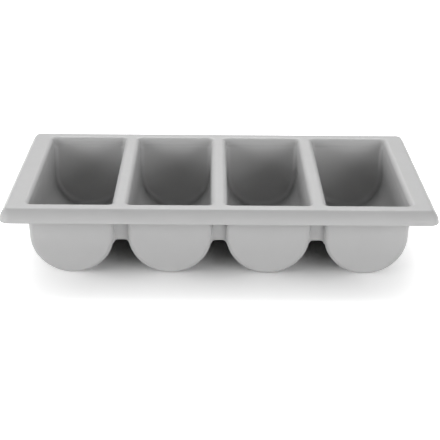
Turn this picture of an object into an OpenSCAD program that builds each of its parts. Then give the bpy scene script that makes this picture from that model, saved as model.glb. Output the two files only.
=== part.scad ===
// Cutlery box: one moulded plastic tray of gastronorm 1/1 footprint with four
// side-by-side U-shaped troughs, each under a rectangular mouth.
// The moulding is drawn zone by zone, and the zones meet face to face.
// Origin: middle of the footprint on the table. +X runs along the row of
// troughs, -Y is the front and +Z is up.

/* [Tray] */
// Overall length along X, over the apron
tray_l = 530; // [480:1:600]
// Overall depth along Y, over the apron
tray_w = 325; // [300:1:360]
// Overall height, from the table to the land of the rim
tray_h = 98; // [85:1:125]
// Wall thickness of the moulding
wall = 2.5; // [2:0.1:3.2]

/* [Mouths] */
// Rim from the apron's foot to the nearest mouth, at the left and right
end_rim = 33; // [29:0.5:42]
// Rim from the apron's foot to the mouths, at the front and back
side_rim = 27.5; // [25:0.5:36]
// Width of a divider between two mouths, with its lips
divider_w = 20; // [17:0.5:26]
// Corner radius of a mouth's collar, seen from above
mouth_corner_r = 5; // [3:0.5:10]
// Radius of the lip that bends from the land down into the collar
lip_r = 6.5; // [5:0.1:8]
// Depth of the straight collar from the lip down to the ledge
collar_h = 2; // [1:0.5:6]
// Width of the stacking ledge under the collar, at the ends of a trough
ledge = 2; // [1:0.1:3]
// Step under the collar along a trough's sides
side_step = 0.5; // [0.3:0.1:1]

/* [Troughs] */
// Draft of the trough's long sides, in degrees
side_draft = 1.5; // [0.5:0.1:3]
// Slope of the trough's end walls from upright, in degrees
end_slope = 10; // [7:0.5:14]
// Radius inside the trough between end wall and floor
foot_r = 10; // [7:0.5:12]
// Radius inside the trough between end wall and sides
corner_r = 6; // [4:0.5:7]
// Radius outside a trough round its end wall
outer_r = 10; // [8:0.5:12]

/* [Rim] */
// Height of the turned-down apron, land to foot
apron_h = 17; // [14:0.5:22]
// Run of the apron from the flat land's edge out to its foot
flare = 9.6; // [7:0.1:12]
// Radius of the shoulder between land and apron
shoulder_r = 4; // [3.4:0.1:6]
// Corner radius of the apron's foot, seen from above
rim_corner_r = 13; // [11:0.5:24]

/* [Webs] */
// Height of the arch's crown above the table
arch_z = 44; // [38:1:54]
// Corner radius of the arch
arch_r = 5; // [3:0.5:7]
// Width of the flat foot where the arch runs out on a trough
arch_foot = 0.4; // [0.3:0.1:0.8]

/* [Hidden] */
$fn = 96;

plastic_grey = [0.70, 0.70, 0.70];

// Facets: steps round a trough's floor, and steps across an end fillet
floor_steps = 30;
fillet_steps = 5;
// Overlap by which a cutter passes the face that it cuts
past = 2;

troughs = 4;
dividers = troughs - 1;

// Mouths fill what the rim and the dividers leave
mouth_w = (tray_l - 2 * end_rim - dividers * divider_w) / troughs;
mouth_l = tray_w - 2 * side_rim;
mouth_pitch = mouth_w + divider_w;

// Levels
deck_z = tray_h - wall;
lip_z = tray_h - lip_r;
ledge_z = lip_z - collar_h;
ledge_under_z = ledge_z - wall;

// Hollow of a trough where it meets the ledge
hollow_half_w = mouth_w / 2 - side_step;
hollow_half_l = mouth_l / 2 - ledge;

// Floor of a trough: an arc that rests one wall above the table and runs
// tangent into the drafted sides
floor_r = (hollow_half_w * cos(side_draft) - (ledge_z - wall) * sin(side_draft))
    / (1 - sin(side_draft));
floor_z = wall + floor_r;
// Distance of an end wall's inner plane from the origin, along its normal
end_reach = hollow_half_l * cos(end_slope) - ledge_z * sin(end_slope);

// Apron section: the bulging face is upright at the foot and runs tangent into
// the shoulder, whose middle lies in this direction from the face's middle
face_rise = apron_h - shoulder_r;
face_run = flare - shoulder_r;
face_r = shoulder_r + (face_rise * face_rise + face_run * face_run) / (2 * face_run);
to_shoulder = [face_r - flare, face_rise];

// Flat land inside the apron
land_l = tray_l - 2 * flare;
land_w = tray_w - 2 * flare;
land_corner_r = rim_corner_r - flare;

// A divider zone runs between the corner arcs of its two mouths
divider_l = mouth_l - 2 * mouth_corner_r;

// Webs stand where the outer end fillets run out into the trough sides
web_recess = outer_r;

function trough_x(n) = (n - (troughs + 1) / 2) * mouth_pitch;
function divider_x(n) = (n - (dividers + 1) / 2) * mouth_pitch;

// Half width outside a trough's drafted side at height z
function side_half_w(z) = (floor_r + wall + (z - floor_z) * sin(side_draft)) / cos(side_draft);

// Unit direction that turns from a to b as t runs from 0 to 1
function turn(a, b, t) =
    let (whole = acos(a * b))
    (a * sin((1 - t) * whole) + b * sin(t * whole)) / sin(whole);

// Outward normals of an end wall (end is -1 or 1) and of the floor at angle psi
function end_normal(end) = [0, end * cos(end_slope), -sin(end_slope)];
function floor_normal(psi) = [sin(psi), 0, -cos(psi)];

// Radius of the ball that rolls in the corner of floor and end wall: it runs
// from the first value under the trough's middle to the second one at its sides
function ball_r(ball, psi) = ball[1] + (ball[0] - ball[1]) * cos(psi) * cos(psi);

function ball_middle(r, reach, ball, psi, end) =
    let (
        size = ball_r(ball, psi),
        z = floor_z - (r - size) * cos(psi)
    )
    [
        (r - size) * sin(psi),
        end * (reach - size + z * sin(end_slope)) / cos(end_slope),
        z
    ];

function fillet_point(r, reach, ball, psi, end, t) =
    ball_middle(r, reach, ball, psi, end)
    + ball_r(ball, psi) * turn(end_normal(end), floor_normal(psi), t);

// The same fillet followed up a trough's side (-1 or 1) to height top_z
function fillet_top(r, reach, ball, side, end, t, top_z) =
    let (
        start = fillet_point(r, reach, ball, side * (90 - side_draft), end, t),
        climb = [side * tan(side_draft), end * tan(end_slope), 1]
    )
    start + (top_z - start.z) * climb;

// One ring of a trough's skin: down one side, round the floor, up the other
function skin_ring(r, reach, ball, end, t, top_z) =
    let (sweep = 90 - side_draft)
    concat(
        [fillet_top(r, reach, ball, -1, end, t, top_z)],
        [
            for (i = [0 : floor_steps])
                fillet_point(r, reach, ball, sweep * (2 * i / floor_steps - 1), end, t)
        ],
        [fillet_top(r, reach, ball, 1, end, t, top_z)]
    );

// Solid inside a skin of floor radius r, from one end wall to the other
module trough_body(r, reach, ball, top_z) {
    rings = concat(
        [for (j = [0 : fillet_steps]) skin_ring(r, reach, ball, -1, j / fillet_steps, top_z)],
        [for (j = [fillet_steps : -1 : 0]) skin_ring(r, reach, ball, 1, j / fillet_steps, top_z)]
    );
    count = len(rings[0]);
    last = len(rings) - 1;
    polyhedron(
        points = [for (ring = rings) each ring],
        faces = concat(
            [[for (i = [count - 1 : -1 : 0]) i]],
            [
                for (j = [0 : last - 1], i = [0 : count - 1])
                    let (k = (i + 1) % count)
                    [j * count + i, j * count + k, (j + 1) * count + k, (j + 1) * count + i]
            ],
            [[for (i = [0 : count - 1]) last * count + i]]
        )
    );
}

module round_rect(l, w, r) {
    square([l - 2 * r, w], center = true);
    square([l, w - 2 * r], center = true);
    for (x = [-1, 1], y = [-1, 1])
        translate([x * (l / 2 - r), y * (w / 2 - r)]) circle(r);
}

// Carries a section once round a rounded rectangle: the section's x points
// outward from the path and its y points up
module sweep_rect(l, w, r) {
    for (turn_z = [0, 180]) {
        rotate(turn_z) translate([l / 2, w / 2 - r, 0]) rotate([90, 0, 0])
            linear_extrude(w - 2 * r) children();
        rotate(turn_z + 90) translate([w / 2, l / 2 - r, 0]) rotate([90, 0, 0])
            linear_extrude(l - 2 * r) children();
        rotate(turn_z) {
            translate([l / 2 - r, w / 2 - r, 0])
                rotate_extrude(angle = 90) translate([r, 0]) children();
            translate([-(l / 2 - r), w / 2 - r, 0]) rotate(90)
                rotate_extrude(angle = 90) translate([r, 0]) children();
        }
    }
}

// Bent wall of outer radius r between two directions
module arc_wall(r, from, to) {
    intersection() {
        difference() {
            circle(r);
            circle(r - wall);
        }
        polygon([[0, 0], 2 * r * from, 2 * r * to]);
    }
}

// The lip of a mouth, from the land's edge down to the collar
module lip() {
    translate([0, 0, lip_z]) sweep_rect(mouth_w, mouth_l, mouth_corner_r)
        translate([lip_r, 0]) arc_wall(lip_r, [-1, 0], [0, 1]);
}

// Section of the apron, from the flat land's edge down to the foot
module apron_section() {
    translate([0, -shoulder_r]) arc_wall(shoulder_r, to_shoulder, [0, 1]);
    translate([flare - face_r, -apron_h]) arc_wall(face_r, [1, 0], to_shoulder);
}

// The flat deck outside one mouth's lip, between two corners in plan
module deck_zone(n, from, to) {
    size = to - from;
    translate([0, 0, deck_z]) linear_extrude(wall) difference() {
        intersection() {
            round_rect(land_l, land_w, land_corner_r);
            translate(from) square(size);
        }
        translate([trough_x(n), 0])
            round_rect(mouth_w + 2 * lip_r, mouth_l + 2 * lip_r, mouth_corner_r + lip_r);
    }
}

// Outline outside one trough in the XZ plane, with its collar
module trough_outline() {
    tangent = 90 - side_draft;
    tangent_x = (floor_r + wall) * sin(tangent);
    tangent_z = floor_z - (floor_r + wall) * cos(tangent);
    top_x = side_half_w(ledge_under_z);
    translate([0, floor_z]) circle(floor_r + wall);
    polygon([
        [-tangent_x, tangent_z], [tangent_x, tangent_z],
        [top_x, ledge_under_z], [-top_x, ledge_under_z]
    ]);
    translate([-mouth_w / 2 - wall, ledge_under_z])
        square([mouth_w + 2 * wall, lip_z - ledge_under_z]);
    difference() {
        translate([-mouth_w / 2 - lip_r, lip_z])
            square([mouth_w + 2 * lip_r, deck_z - lip_z]);
        for (side = [-1, 1])
            translate([side * (mouth_w / 2 + lip_r), lip_z]) circle(lip_r - wall);
    }
}

// Outline of a web in the XZ plane: what two troughs leave open above the arch
module web_outline() {
    spring_z = arch_z - arch_r;
    arch_half_w = mouth_pitch / 2 - side_half_w(arch_z) - arch_foot;
    difference() {
        translate([-mouth_pitch / 2, spring_z])
            square([mouth_pitch, deck_z - spring_z]);
        for (side = [-1, 1])
            translate([side * mouth_pitch / 2, 0]) trough_outline();
        for (side = [-1, 1])
            translate([side * (arch_half_w - arch_r), spring_z]) circle(arch_r);
        translate([-(arch_half_w - arch_r), spring_z - past])
            square([2 * (arch_half_w - arch_r), arch_r + past]);
        translate([-arch_half_w, spring_z - past]) square([2 * arch_half_w, past]);
    }
}

// Slab that leans with the end walls and holds the webs of one end
module web_slab(end) {
    outer_reach = end_reach + wall - web_recess;
    rotate(end < 0 ? 180 : 0)
        rotate([-end_slope, 0, 0])
            translate([-tray_l / 2, outer_reach - wall, -tray_h])
                cube([tray_l, wall, 3 * tray_h]);
}

module web(n, end) {
    color(plastic_grey) intersection() {
        translate([divider_x(n), tray_w / 2, 0]) rotate([90, 0, 0])
            linear_extrude(tray_w) web_outline();
        web_slab(end);
    }
}

// Land in front of a mouth or behind it (end is -1 or 1), with the mouth's corners
module land_strip(n, end) {
    from_x = n == 1 ? -tray_l / 2 : divider_x(n - 1);
    to_x = n == troughs ? tray_l / 2 : divider_x(n);
    from_y = end < 0 ? -tray_w / 2 : divider_l / 2;
    to_y = end < 0 ? -divider_l / 2 : tray_w / 2;
    color(plastic_grey) deck_zone(n, [from_x, from_y], [to_x, to_y]);
}

// Land beside the first mouth or the last one (side is -1 or 1)
module land_bar(side) {
    n = side < 0 ? 1 : troughs;
    from_x = side < 0 ? -tray_l / 2 : trough_x(n);
    to_x = side < 0 ? trough_x(n) : tray_l / 2;
    color(plastic_grey) deck_zone(n, [from_x, -divider_l / 2], [to_x, divider_l / 2]);
}

module rim_apron() {
    color(plastic_grey) translate([0, 0, tray_h])
        sweep_rect(land_l, land_w, land_corner_r) apron_section();
}

// Flat strip of land between the lips of two mouths
module divider(n) {
    color(plastic_grey) translate([divider_x(n), 0, deck_z + wall / 2])
        cube([divider_w - 2 * lip_r, divider_l, wall], center = true);
}

module trough(n) {
    outer_w = mouth_w + 2 * wall;
    outer_l = mouth_l + 2 * wall;
    color(plastic_grey) translate([trough_x(n), 0, 0]) {
        lip();
        difference() {
            union() {
                translate([0, 0, ledge_under_z]) linear_extrude(lip_z - ledge_under_z)
                    round_rect(outer_w, outer_l, mouth_corner_r + wall);
                trough_body(floor_r + wall, end_reach + wall, [outer_r, outer_r], ledge_z);
            }
            translate([0, 0, ledge_z]) linear_extrude(collar_h + past)
                round_rect(mouth_w, mouth_l, mouth_corner_r);
            trough_body(floor_r, end_reach, [foot_r, corner_r], ledge_z + past);
        }
    }
}

land_strip(1, -1);  // land_front_1
land_strip(2, -1);  // land_front_2
land_strip(3, -1);  // land_front_3
land_strip(4, -1);  // land_front_4
land_strip(1, 1);  // land_back_1
land_strip(2, 1);  // land_back_2
land_strip(3, 1);  // land_back_3
land_strip(4, 1);  // land_back_4
land_bar(-1);  // land_left
land_bar(1);  // land_right
rim_apron();
divider(1);  // divider_1
divider(2);  // divider_2
divider(3);  // divider_3
trough(1);  // trough_1
trough(2);  // trough_2
trough(3);  // trough_3
trough(4);  // trough_4
web(1, -1);  // web_front_1
web(2, -1);  // web_front_2
web(3, -1);  // web_front_3
web(1, 1);  // web_back_1
web(2, 1);  // web_back_2
web(3, 1);  // web_back_3
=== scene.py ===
from math import cos, pi, radians, sin, sqrt, tan

import bmesh
import bpy
from mathutils import Matrix, Vector


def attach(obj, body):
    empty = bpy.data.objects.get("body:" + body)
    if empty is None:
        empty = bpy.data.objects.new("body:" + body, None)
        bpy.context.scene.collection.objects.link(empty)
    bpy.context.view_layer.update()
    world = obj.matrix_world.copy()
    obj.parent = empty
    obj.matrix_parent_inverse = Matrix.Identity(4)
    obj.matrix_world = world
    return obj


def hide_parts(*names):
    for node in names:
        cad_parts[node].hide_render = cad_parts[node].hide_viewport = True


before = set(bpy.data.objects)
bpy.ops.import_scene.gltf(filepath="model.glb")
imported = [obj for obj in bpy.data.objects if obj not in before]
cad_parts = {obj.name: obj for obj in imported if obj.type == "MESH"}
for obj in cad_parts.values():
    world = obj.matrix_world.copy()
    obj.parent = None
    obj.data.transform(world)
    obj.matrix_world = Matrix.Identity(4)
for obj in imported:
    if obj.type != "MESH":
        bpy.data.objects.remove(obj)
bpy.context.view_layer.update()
scene = bpy.context.scene

# Camera: a long lens in front of the tray, looking down over the front rim at the
# troughs, with the slight turn and roll of the photograph.
camera_place = Vector((-0.0096, -1.6008, 0.6294))
camera_turn = radians(0.412)
camera_pitch = radians(20.641)
camera_roll = radians(0.509)
ahead = Vector((
    sin(camera_turn) * cos(camera_pitch),
    cos(camera_turn) * cos(camera_pitch),
    -sin(camera_pitch),
))
right = Vector((cos(camera_turn), -sin(camera_turn), 0))
up = right.cross(ahead)
camera_x = cos(camera_roll) * right + sin(camera_roll) * up
camera_y = cos(camera_roll) * up - sin(camera_roll) * right
camera = bpy.data.objects.new("camera", bpy.data.cameras.new("camera"))
camera.data.lens = 105.24
camera.data.sensor_width = 36
camera.matrix_world = (
    Matrix.Translation(camera_place)
    @ Matrix((camera_x, camera_y, -ahead)).transposed().to_4x4()
)
scene.collection.objects.link(camera)
scene.camera = camera

# Troughs: four round-bottomed channels, moulded in one shot with the rim. Each has
# drafted sides, leaning end walls with a rounded foot, and a collar over a narrow
# ledge on which the next tray of a stack comes to rest. Sizes are in millimetres.
MM = 0.001
troughs = 4
wall = 2.5
rim_z = 98
mouth_w = 101
mouth_l = 270
mouth_corner_r = 5
mouth_pitch = 121
lip_r = 6.5
ledge_z = 89.5
ledge = 2
# How far the ledge falls towards the trough, and how far its two bends reach
ledge_fall = 3
ledge_soft = 2
side_step = 0.5
side_draft = radians(1.5)
end_slope = radians(10)
foot_r = 10
corner_r = 6
outer_r = 6
# Small radius that the tool leaves on edges and in corners
tool_r = 0.9
# Width of the strip that keeps the shading flat beside a bend
crease = 1
corner_steps = 10
floor_steps = 56
lip_steps = 10

deck_z = rim_z - wall
lip_z = rim_z - lip_r
ledge_under_z = ledge_z - wall
floor_r = (
    (mouth_w / 2 - side_step) * cos(side_draft) - (ledge_z - wall) * sin(side_draft)
) / (1 - sin(side_draft))
floor_z = wall + floor_r
end_reach = (mouth_l / 2 - ledge) * cos(end_slope) - ledge_z * sin(end_slope)
# A skin is its floor radius, the reach of its end planes, and the radius round its
# end walls under the middle and at the sides
inner_skin = (floor_r, end_reach, foot_r, corner_r)
outer_skin = (floor_r + wall, end_reach + wall, outer_r, outer_r)


def deeper(skin):
    # The same skin with the radius round its end walls begun one crease further in
    return skin[0], skin[1], skin[2] + crease, skin[3] + crease


def skin_point(skin, psi, end, t):
    # Point of the rounded foot at angle psi of the floor, from end wall (t = 0) to floor
    radius, reach, under, beside = skin
    ball = beside + (under - beside) * cos(psi) ** 2
    z = floor_z - (radius - ball) * cos(psi)
    y = end * (reach - ball + z * sin(end_slope)) / cos(end_slope)
    middle = Vector(((radius - ball) * sin(psi), y, z))
    from_end = Vector((0, end * cos(end_slope), -sin(end_slope)))
    from_floor = Vector((sin(psi), 0, -cos(psi)))
    whole = from_end.angle(from_floor)
    turned = from_end * sin((1 - t) * whole) + from_floor * sin(t * whole)
    return middle + ball / sin(whole) * turned


def side_point(skin, side, end, t, z):
    # The same foot followed up one side of the trough to height z
    start = skin_point(skin, side * (pi / 2 - side_draft), end, t)
    climb = Vector((side * tan(side_draft), end * tan(end_slope), 1))
    return start + (z - start.z) * climb


def skin_column(skin, end, t, top_z):
    # Down one side, round the floor and up the other side
    sweep = pi / 2 - side_draft
    floor = [
        skin_point(skin, sweep * (2 * i / floor_steps - 1), end, t)
        for i in range(floor_steps + 1)
    ]
    sides = []
    for side, tangent in ((-1, floor[0]), (1, floor[-1])):
        levels = (top_z, top_z - crease, tangent.z + crease)
        sides.append([side_point(skin, side, end, t, z) for z in levels])
    return sides[0] + floor + sides[1][::-1]


def go_round(corner):
    # Joins four corners, each listed from its end edge to its side edge, into a loop
    return corner(1, -1) + corner(1, 1)[::-1] + corner(-1, 1) + corner(-1, -1)[::-1]


def skin_ring(skin, z):
    def corner(side, end):
        arc = [
            side_point(skin, side, end, j / corner_steps, z)
            for j in range(corner_steps + 1)
        ]
        lead = side_point(deeper(skin), side, end, 0, z)
        tail = side_point(deeper(skin), side, end, 1, z)
        return [lead] + arc + [tail]

    return go_round(corner)


def rect_ring(w, l, r, z):
    def corner(side, end):
        middle = Vector((side * (w / 2 - r), end * (l / 2 - r), z))
        arc = []
        for j in range(corner_steps + 1):
            a = pi / 2 * j / corner_steps
            arc.append(middle + r * Vector((side * sin(a), end * cos(a), 0)))
        lead = arc[0] - Vector((side * crease, 0, 0))
        tail = arc[-1] - Vector((0, end * crease, 0))
        return [lead] + arc + [tail]

    return go_round(corner)


def mouth_ring(grow, z):
    return rect_ring(mouth_w + 2 * grow, mouth_l + 2 * grow, mouth_corner_r + grow, z)


def between(a, b, t):
    return [p.lerp(q, t) for p, q in zip(a, b)]


def bend(start, corner, stop, steps=4):
    # Rounds the corner that two strips make where they meet
    rows = []
    for j in range(steps + 1):
        t = j / steps
        rows.append(between(between(start, corner, t), between(corner, stop, t), t))
    return rows


def loft(bm, rows, closed):
    made = [[bm.verts.new(p * MM) for p in row] for row in rows]
    for low, high in zip(made, made[1:]):
        count = len(low)
        for i in range(count if closed else count - 1):
            k = (i + 1) % count
            bm.faces.new((low[i], low[k], high[k], high[i]))
    return made


def lip_bend(radius):
    # From the land's edge down to the collar
    rows = []
    for j in range(lip_steps + 1):
        a = pi / 2 * j / lip_steps
        rows.append(mouth_ring(lip_r - radius * sin(a), lip_z + radius * cos(a)))
    return rows


def ledge_bend(collar, skin, z):
    # Soft slope from the collar, which has grown this much, in to the trough's skin
    collar_foot = mouth_ring(collar, z)
    skin_top = skin_ring(skin, z - ledge_fall)
    middle = between(collar_foot, skin_top, 0.5)
    step_in = bend(mouth_ring(collar, z + ledge_soft), collar_foot, middle)
    step_down = bend(middle, skin_top, skin_ring(skin, z - ledge_fall - ledge_soft))
    return step_in + step_down[1:]


bay = bmesh.new()
loft(bay, (
    [mouth_ring(lip_r + crease, rim_z)]
    + lip_bend(lip_r)
    + ledge_bend(0, inner_skin, ledge_z)
), True)
loft(bay, (
    [mouth_ring(lip_r + crease, deck_z)]
    + lip_bend(lip_r - wall)
    + [mouth_ring(wall, lip_z - crease)]
    + ledge_bend(wall, outer_skin, ledge_under_z)
), True)

for skin, step_z in ((inner_skin, ledge_z), (outer_skin, ledge_under_z)):
    top_z = step_z - ledge_fall - ledge_soft
    columns = []
    for end in (-1, 1):
        foot = [
            skin_column(skin, end, j / corner_steps, top_z)
            for j in range(corner_steps + 1)
        ]
        foot.append(skin_column(deeper(skin), end, 1, top_z))
        columns += foot if end < 0 else foot[::-1]
        # The flat end wall: a border strip, then rungs from side to side
        strip = loft(bay, [foot[0], skin_column(deeper(skin), end, 0, top_z)], False)
        border = strip[1]
        last = len(border) - 1
        for i in range(last // 2):
            rung = (border[i], border[i + 1], border[last - i - 1], border[last - i])
            bay.faces.new(tuple(dict.fromkeys(rung)))
    loft(bay, columns, False)


def linear(hex_colour):
    # sRGB hex value to the linear colour that shaders take
    parts = [int(hex_colour[i:i + 2], 16) / 255 for i in (1, 3, 5)]
    parts = [c / 12.92 if c <= 0.04045 else ((c + 0.055) / 1.055) ** 2.4 for c in parts]
    return (*parts, 1)


def add_node(tree, kind, inputs=None, **settings):
    # Adds a node, applies its settings, and links or sets its inputs
    node = tree.nodes.new(kind)
    for name, value in settings.items():
        setattr(node, name, value)
    for key, value in (inputs or {}).items():
        if isinstance(value, bpy.types.NodeSocket):
            tree.links.new(value, node.inputs[key])
        else:
            node.inputs[key].default_value = value
    return node


# Moulded polypropylene in a spark-eroded tool: neutral grey, satin, with faint
# flow clouds of the pigment and patches rubbed a little smoother in use.
polypropylene = bpy.data.materials.new("moulded_polypropylene")
polypropylene.use_nodes = True
plastic = polypropylene.node_tree
plastic.nodes.clear()
place = add_node(plastic, "ShaderNodeTexCoord").outputs["Object"]
cloud_size = 55 * MM
clouds = add_node(plastic, "ShaderNodeTexNoise", {
    "Vector": place, "Scale": 1 / cloud_size, "Detail": 3, "Roughness": 0.55,
})
pigment = add_node(plastic, "ShaderNodeMix", {
    "Factor": clouds.outputs["Fac"], "A": linear("#B2B2B2"), "B": linear("#BABABA"),
}, data_type="RGBA")
rub_size = 18 * MM
rubbed = add_node(plastic, "ShaderNodeTexNoise", {
    "Vector": place, "Scale": 1 / rub_size, "Detail": 4, "Roughness": 0.6,
})
satin = add_node(plastic, "ShaderNodeMapRange", {
    "Value": rubbed.outputs["Fac"], "From Min": 0.3, "From Max": 0.7,
    "To Min": 0.31, "To Max": 0.4,
})
# The eroded grain is about 0.1 mm; it is drawn at 0.7 mm so that it shows at all
grain_size = 0.7 * MM
grain_depth = 0.05 * MM
grain = add_node(plastic, "ShaderNodeTexNoise", {
    "Vector": place, "Scale": 1 / grain_size, "Detail": 2, "Roughness": 0.5,
})
eroded = add_node(plastic, "ShaderNodeBump", {
    "Height": grain.outputs["Fac"], "Strength": 0.06, "Distance": grain_depth,
})
plastic_shader = add_node(plastic, "ShaderNodeBsdfPrincipled", {
    "Base Color": pigment.outputs["Result"], "Roughness": satin.outputs["Result"],
    "IOR": 1.49, "Normal": eroded.outputs["Normal"],
})
add_node(plastic, "ShaderNodeOutputMaterial", {"Surface": plastic_shader.outputs["BSDF"]})


def take_sockets(tree, inputs, output):
    # Gives a tree its named inputs and its output, and returns them
    sockets = [
        tree.interface.new_socket(name=name, in_out="INPUT", socket_type=kind)
        for name, kind in inputs
    ]
    tree.interface.new_socket(
        name=output, in_out="OUTPUT", socket_type="NodeSocketGeometry"
    )
    return sockets


# The row: one trough with its mouth, set four times at the pitch of the mouths
row_tree = bpy.data.node_groups.new("trough_row", "GeometryNodeTree")
row_sockets = take_sockets(row_tree, (
    ("Trough", "NodeSocketGeometry"), ("Count", "NodeSocketInt"),
    ("First", "NodeSocketVector"), ("Step", "NodeSocketVector"),
    ("Plastic", "NodeSocketMaterial"),
), "Row")
row_in = add_node(row_tree, "NodeGroupInput").outputs
row_line = add_node(row_tree, "GeometryNodeMeshLine", {
    "Count": row_in["Count"], "Start Location": row_in["First"],
    "Offset": row_in["Step"],
}, mode="OFFSET")
row_set = add_node(row_tree, "GeometryNodeInstanceOnPoints", {
    "Points": row_line.outputs["Mesh"], "Instance": row_in["Trough"],
})
row_real = add_node(row_tree, "GeometryNodeRealizeInstances", {
    "Geometry": row_set.outputs["Instances"],
})
row_done = add_node(row_tree, "GeometryNodeSetMaterial", {
    "Geometry": row_real.outputs["Geometry"], "Material": row_in["Plastic"],
})
add_node(row_tree, "NodeGroupOutput", {"Row": row_done.outputs["Geometry"]})


def make_mesh(bm, name):
    mesh = bpy.data.meshes.new(name)
    bm.to_mesh(mesh)
    bm.free()
    return mesh


def repeat(mesh, tree, sockets, values):
    # Runs a mesh through a tree and returns the result as a plain mesh
    source = bpy.data.objects.new(mesh.name, mesh)
    scene.collection.objects.link(source)
    modifier = source.modifiers.new("repeat", "NODES")
    modifier.node_group = tree
    for socket, value in zip(sockets[1:], values):
        modifier[socket.identifier] = value
    shown = source.evaluated_get(bpy.context.evaluated_depsgraph_get())
    made = bpy.data.meshes.new_from_object(shown)
    source.modifiers.remove(modifier)
    bpy.data.objects.remove(source)
    return made


first_trough = (-(troughs - 1) / 2 * mouth_pitch * MM, 0.0, 0.0)
trough_step = (mouth_pitch * MM, 0.0, 0.0)
trough_row = repeat(make_mesh(bay, "trough"), row_tree, row_sockets, (
    troughs, first_trough, trough_step, polypropylene,
))

# Rim: the flat land round the mouths and the bulging apron turned down from it.
# It is the same sheet of plastic as the troughs, so it is welded to them here.
tray_l = 530
tray_w = 325
apron_h = 17
flare = 9.6
shoulder_r = 4
rim_corner_r = 13
shoulder_steps = 6
face_steps = 12

land_l = tray_l - 2 * flare
land_w = tray_w - 2 * flare
land_corner_r = rim_corner_r - flare
face_rise = apron_h - shoulder_r
face_run = flare - shoulder_r
face_r = shoulder_r + (face_rise ** 2 + face_run ** 2) / (2 * face_run)
face_angle = Vector((face_r - flare, face_rise)).angle(Vector((1, 0)))
foot_z = rim_z - apron_h


def rim_ring(out, z):
    return rect_ring(land_l + 2 * out, land_w + 2 * out, land_corner_r + out, z)


def face_ring(radius, a):
    return rim_ring(flare - face_r + radius * cos(a), foot_z + radius * sin(a))


def shoulder_ring(radius, a):
    return rim_ring(radius * cos(a), rim_z - shoulder_r + radius * sin(a))


def sweep_angles(start, stop, steps):
    return [start + (stop - start) * j / steps for j in range(steps + 1)]


foot_angle = tool_r / face_r
rim = bmesh.new()
rim_rows = [rim_ring(-crease, rim_z)]
for a in sweep_angles(pi / 2, face_angle, shoulder_steps)[:-1]:
    rim_rows.append(shoulder_ring(shoulder_r, a))
for a in sweep_angles(face_angle, foot_angle, face_steps)[:-1]:
    rim_rows.append(face_ring(face_r, a))
rim_rows += bend(
    face_ring(face_r, foot_angle), face_ring(face_r, 0),
    rim_ring(flare - tool_r, foot_z),
)
rim_rows += bend(
    rim_ring(flare - wall + tool_r, foot_z), face_ring(face_r - wall, 0),
    face_ring(face_r - wall, foot_angle),
)
for a in sweep_angles(foot_angle, face_angle, face_steps)[1:]:
    rim_rows.append(face_ring(face_r - wall, a))
for a in sweep_angles(face_angle, pi / 2, shoulder_steps)[1:]:
    rim_rows.append(shoulder_ring(shoulder_r - wall, a))
rim_rows.append(rim_ring(-crease, deck_z))
loft(rim, rim_rows, True)


def fill_land(bm, edge, mouth):
    # Flat sheet between the rim's edge and the four mouths
    loops = [edge]
    for n in range(troughs):
        shift = Vector(((n - (troughs - 1) / 2) * mouth_pitch, 0, 0))
        loops.append([p + shift for p in mouth])
    edges = []
    for loop in loops:
        corners = [bm.verts.new(p * MM) for p in loop]
        for a, b in zip(corners, corners[1:] + corners[:1]):
            edges.append(bm.edges.new((a, b)))
    bmesh.ops.triangle_fill(bm, use_beauty=True, edges=edges, normal=(0, 0, 1))


fill_land(rim, rim_rows[0], mouth_ring(lip_r + crease, rim_z))
fill_land(rim, rim_rows[-1], mouth_ring(lip_r + crease, deck_z))
rim.from_mesh(trough_row)
weld = 0.02 * MM
bmesh.ops.remove_doubles(rim, verts=rim.verts, dist=weld)
bmesh.ops.recalc_face_normals(rim, faces=rim.faces)
if any(not edge.is_manifold for edge in rim.edges):
    raise RuntimeError("the moulding's skin is not closed")
for face in rim.faces:
    face.smooth = True
tray_mesh = make_mesh(rim, "tray_moulding")
tray_mesh.materials.clear()
tray_mesh.materials.append(polypropylene)
tray = bpy.data.objects.new("tray_moulding", tray_mesh)
scene.collection.objects.link(tray)
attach(tray, "root")
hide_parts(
    "land_front_1", "land_front_2", "land_front_3", "land_front_4",
    "land_back_1", "land_back_2", "land_back_3", "land_back_4",
    "land_left", "land_right", "rim_apron", "divider_1", "divider_2", "divider_3",
    "trough_1", "trough_2", "trough_3", "trough_4",
)

# Webs: six arched bridges that tie the ends of neighbouring troughs together, part
# of the same shot. Each leans with the end walls, stands back from them, and meets the
# trough sides in a small fillet.
arch_z = 44
arch_r = 5
arch_foot = 0.4
web_recess = 10
web_fillet_r = 1
web_back_fillet_r = 2
# How far a web runs on inside the walls that it joins
sunk = 1
# Gap kept above and below the step in the troughs' outline
step_gap = 0.2
web_rows = 8
web_fillet_steps = 6
web_lip_steps = 3
web_edge_steps = 3

web_reach = end_reach + wall - web_recess
spring_z = arch_z - arch_r
web_top_z = deck_z + sunk
lip_gap = (mouth_pitch - mouth_w) / 2 - lip_r
lip_under_r = lip_r - wall


def gap_half(z):
    # Half the gap between two troughs, their collars or their lips at height z
    if z > ledge_under_z:
        over = min(max(z - lip_z, 0), lip_under_r)
        return lip_gap + sqrt(lip_under_r ** 2 - over ** 2)
    radius = floor_r + wall
    if z < floor_z - radius * sin(side_draft):
        half = sqrt(radius ** 2 - (floor_z - z) ** 2)
    else:
        half = (radius + (z - floor_z) * sin(side_draft)) / cos(side_draft)
    return mouth_pitch / 2 - half


arch_half_w = gap_half(arch_z) - arch_foot


def arch_low(x):
    # Height of the arch's edge at distance x from the middle of the web
    over = abs(x) - (arch_half_w - arch_r)
    if over <= 0:
        return arch_z
    if over >= arch_r:
        return spring_z
    return spring_z + sqrt(arch_r ** 2 - over ** 2)


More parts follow.
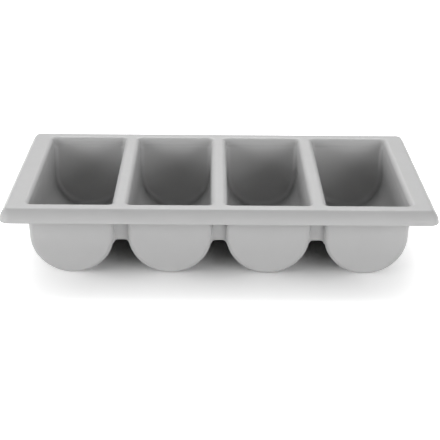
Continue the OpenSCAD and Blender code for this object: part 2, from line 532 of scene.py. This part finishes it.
def web_half(across, z, fillet_r):
    # Place across the gap and proud of the web's face; across 0 to 1 is the flat part,
    # 1 to 2 the fillet that turns on to the trough's side, 3 the edge sunk in that side
    start = gap_half(z) - fillet_r
    if across <= 1:
        return across * start, 0
    a = pi / 2 * (min(across, 2) - 1)
    x = start + fillet_r * sin(a)
    if across > 2:
        x += sunk
    return x, fillet_r * (1 - cos(a))


def web_front(across, z):
    return web_half(across, z, web_fillet_r)


def web_back(across, z):
    x, proud = web_half(across, z, web_back_fillet_r)
    return x, -wall - proud


def web_point(section, across, side, z):
    x, proud = section(across, z)
    y = -(web_reach + proud + z * sin(end_slope)) / cos(end_slope)
    return Vector((side * x, y, z))


def web_foot_z(section, across):
    # Height at which a column of the web meets the arch, found in repeated steps
    z = spring_z
    for _ in range(20):
        z = arch_low(section(across, z)[0])
    return z


def web_column(across, side):
    # Down the front, round the arch's edge and up the back
    front_z = web_foot_z(web_front, across)
    back_z = web_foot_z(web_back, across)
    below = ledge_under_z - step_gap
    above = ledge_under_z + step_gap

    def climb(section, low_z):
        face_z = low_z + tool_r + crease
        levels = [low_z + tool_r]
        levels += [face_z + (below - face_z) * j / web_rows for j in range(web_rows + 1)]
        levels.append(above)
        for a in sweep_angles(0, pi / 2, web_lip_steps):
            levels.append(lip_z + lip_under_r * sin(a))
        levels.append(web_top_z)
        return [web_point(section, across, side, z) for z in levels]

    front = climb(web_front, front_z)
    back = climb(web_back, back_z)
    front_edge = web_point(web_front, across, side, front_z)
    back_edge = web_point(web_back, across, side, back_z)
    share = tool_r / (front_edge - back_edge).length
    front_turn = front_edge.lerp(back_edge, share)
    back_turn = back_edge.lerp(front_edge, share)
    edge = bend([front[0]], [front_edge], [front_turn], web_edge_steps)
    edge += bend([back_turn], [back_edge], [back[0]], web_edge_steps)
    return front[:0:-1] + [row[0] for row in edge] + back[1:]


# Columns of a web from its middle out, closer together towards the fillet
across_steps = [0.35, 0.55, 0.7, 0.82, 0.92]
across_steps += [1 + j / web_fillet_steps for j in range(web_fillet_steps + 1)] + [3]
columns = [web_column(across, -1) for across in reversed(across_steps)]
columns.append(web_column(0, 1))
columns += [web_column(across, 1) for across in across_steps]
web = bmesh.new()
sheet = loft(web, columns, False)
for outer in (sheet[0], sheet[-1]):
    web.faces.new(outer)
for a, b in zip(sheet, sheet[1:]):
    web.faces.new((a[0], b[0], b[-1], a[-1]))
bmesh.ops.recalc_face_normals(web, faces=web.faces)
for face in web.faces:
    face.smooth = True

# The webs: three under the dividers at the front, and three turned about at the back
web_tree = bpy.data.node_groups.new("web_rows", "GeometryNodeTree")
web_sockets = take_sockets(web_tree, (
    ("Web", "NodeSocketGeometry"), ("Count", "NodeSocketInt"),
    ("First", "NodeSocketVector"), ("Step", "NodeSocketVector"),
    ("Back Turn", "NodeSocketVector"), ("Plastic", "NodeSocketMaterial"),
), "Webs")
web_in = add_node(web_tree, "NodeGroupInput").outputs
web_line = add_node(web_tree, "GeometryNodeMeshLine", {
    "Count": web_in["Count"], "Start Location": web_in["First"],
    "Offset": web_in["Step"],
}, mode="OFFSET")
web_fronts = add_node(web_tree, "GeometryNodeInstanceOnPoints", {
    "Points": web_line.outputs["Mesh"], "Instance": web_in["Web"],
})
web_backs = add_node(web_tree, "GeometryNodeInstanceOnPoints", {
    "Points": web_line.outputs["Mesh"], "Instance": web_in["Web"],
    "Rotation": web_in["Back Turn"],
})
web_all = add_node(web_tree, "GeometryNodeJoinGeometry")
for part in (web_fronts, web_backs):
    web_tree.links.new(part.outputs["Instances"], web_all.inputs["Geometry"])
web_real = add_node(web_tree, "GeometryNodeRealizeInstances", {
    "Geometry": web_all.outputs["Geometry"],
})
web_done = add_node(web_tree, "GeometryNodeSetMaterial", {
    "Geometry": web_real.outputs["Geometry"], "Material": web_in["Plastic"],
})
add_node(web_tree, "NodeGroupOutput", {"Webs": web_done.outputs["Geometry"]})

first_web = (-(troughs - 2) / 2 * mouth_pitch * MM, 0.0, 0.0)
web_mesh = repeat(make_mesh(web, "web"), web_tree, web_sockets, (
    troughs - 1, first_web, trough_step, (0.0, 0.0, pi), polypropylene,
))
webs = bpy.data.objects.new("arched_webs", web_mesh)
scene.collection.objects.link(webs)
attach(webs, "root")
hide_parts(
    "web_front_1", "web_front_2", "web_front_3",
    "web_back_1", "web_back_2", "web_back_3",
)

# Floor: a white studio sweep that takes the tray's soft shadow and throws light back
# up under the apron and between the troughs. Away from the tray it is seen as white;
# its seen glow fades out towards the tray's feet, a painted shadow laid over the real one.
floor_half = 4000 * MM
floor_bm = bmesh.new()
bmesh.ops.create_grid(floor_bm, x_segments=1, y_segments=1, size=floor_half)
studio_floor = bpy.data.objects.new("studio_floor", make_mesh(floor_bm, "studio_floor"))
scene.collection.objects.link(studio_floor)


def add_seen(tree):
    # 1 for the rays that show the room: to the eye, in a gloss or through glass
    rays = add_node(tree, "ShaderNodeLightPath").outputs
    seen = rays["Is Camera Ray"]
    for kind in ("Is Glossy Ray", "Is Transmission Ray"):
        seen = add_node(
            tree, "ShaderNodeMath", {0: seen, 1: rays[kind]}, operation="MAXIMUM"
        ).outputs[0]
    return seen


paper = bpy.data.materials.new("white_studio_paper")
paper.use_nodes = True
sweep = paper.node_tree
sweep.nodes.clear()
# The tray's feet, where the paper keeps its whole real shadow, and how far off the
# painted shadow ends, over which the seen glow fades in from nil to full white
feet_half = (150 * MM, 105 * MM, 0)
painted_shadow_reach = 170 * MM
paper_white = 1.0
paper_place = add_node(sweep, "ShaderNodeTexCoord").outputs["Object"]
across_paper = add_node(
    sweep, "ShaderNodeVectorMath", {0: paper_place}, operation="ABSOLUTE"
)
past_feet = add_node(sweep, "ShaderNodeVectorMath", {
    0: across_paper.outputs["Vector"], 1: feet_half,
}, operation="SUBTRACT")
outside_feet = add_node(sweep, "ShaderNodeVectorMath", {
    0: past_feet.outputs["Vector"], 1: (0, 0, 0),
}, operation="MAXIMUM")
off_feet = add_node(
    sweep, "ShaderNodeVectorMath", {0: outside_feet.outputs["Vector"]}, operation="LENGTH"
)
# Painted shadow: the seen glow is nil at the tray's feet and grows to full white at the
# reach
painted_shadow_fade = add_node(sweep, "ShaderNodeMapRange", {
    "Value": off_feet.outputs["Value"], "From Max": painted_shadow_reach, "To Max": paper_white,
})
paper_level = add_node(sweep, "ShaderNodeMath", {
    0: painted_shadow_fade.outputs["Result"], 1: add_seen(sweep),
}, operation="MULTIPLY")
paper_lit = add_node(sweep, "ShaderNodeBsdfDiffuse", {"Color": linear("#F4F4F4")})
paper_seen = add_node(sweep, "ShaderNodeEmission", {
    "Color": linear("#FFFFFF"), "Strength": paper_level.outputs[0],
})
paper_shown = add_node(sweep, "ShaderNodeAddShader", {
    0: paper_lit.outputs["BSDF"], 1: paper_seen.outputs["Emission"],
})
add_node(sweep, "ShaderNodeOutputMaterial", {"Surface": paper_shown.outputs["Shader"]})
studio_floor.data.materials.append(paper)

# Studio light: a large soft box behind the tray, and low wide lamps to the left, the
# front left and the front right. Each stands 2.5 m from the tray and faces it.
scene.view_settings.view_transform = "Standard"
lamp_reach = 2.5
lamp_aim = Vector((0, 0, 50 * MM))
soft_lamps = (
    # name, bearing and height in degrees, width and height in metres, watts
    ("back_box", 90, 50, 2.8, 2.4, 53),
    ("left_lamp", 195, 13, 2.6, 1.1, 30),
    ("front_left_lamp", 225, 16, 1.8, 1.0, 16),
    ("front_right_lamp", 310, 13, 2.4, 1.1, 37),
)
for name, bearing, height, size_x, size_y, watts in soft_lamps:
    lamp = bpy.data.objects.new(name, bpy.data.lights.new(name, "AREA"))
    lamp.data.shape = "ELLIPSE"
    lamp.data.size = size_x
    lamp.data.size_y = size_y
    lamp.data.energy = watts
    # The low lamps stay out of the gloss, or the land would glare from the other sides
    lamp.visible_glossy = name == "back_box"
    level = cos(radians(height))
    out = Vector((
        level * cos(radians(bearing)), level * sin(radians(bearing)), sin(radians(height)),
    ))
    lamp.location = lamp_aim + lamp_reach * out
    lamp.rotation_euler = (-out).to_track_quat("-Z", "Y").to_euler()
    scene.collection.objects.link(lamp)

# Room: what the eye and the gloss see round the sweep, white walls up to a greyer
# ceiling. It gives the tray almost no light of its own.
walls_end = 0.35
ceiling_start = 0.7
ceiling_white = 0.55
room_fill = 0.02
pale_room = bpy.data.worlds.new("pale_room")
scene.world = pale_room
pale_room.use_nodes = True
room = pale_room.node_tree
room.nodes.clear()
room_way = add_node(room, "ShaderNodeSeparateXYZ", {
    "Vector": add_node(room, "ShaderNodeTexCoord").outputs["Generated"],
})
room_walls = add_node(room, "ShaderNodeMapRange", {
    "Value": room_way.outputs["Z"], "From Min": walls_end, "From Max": ceiling_start,
    "To Min": 1.0, "To Max": ceiling_white,
})
room_level = add_node(room, "ShaderNodeMapRange", {
    "Value": add_seen(room), "To Min": room_fill, "To Max": room_walls.outputs["Result"],
})
room_light = add_node(room, "ShaderNodeBackground", {
    "Color": linear("#FFFFFF"), "Strength": room_level.outputs["Result"],
})
add_node(room, "ShaderNodeOutputWorld", {"Surface": room_light.outputs["Background"]})
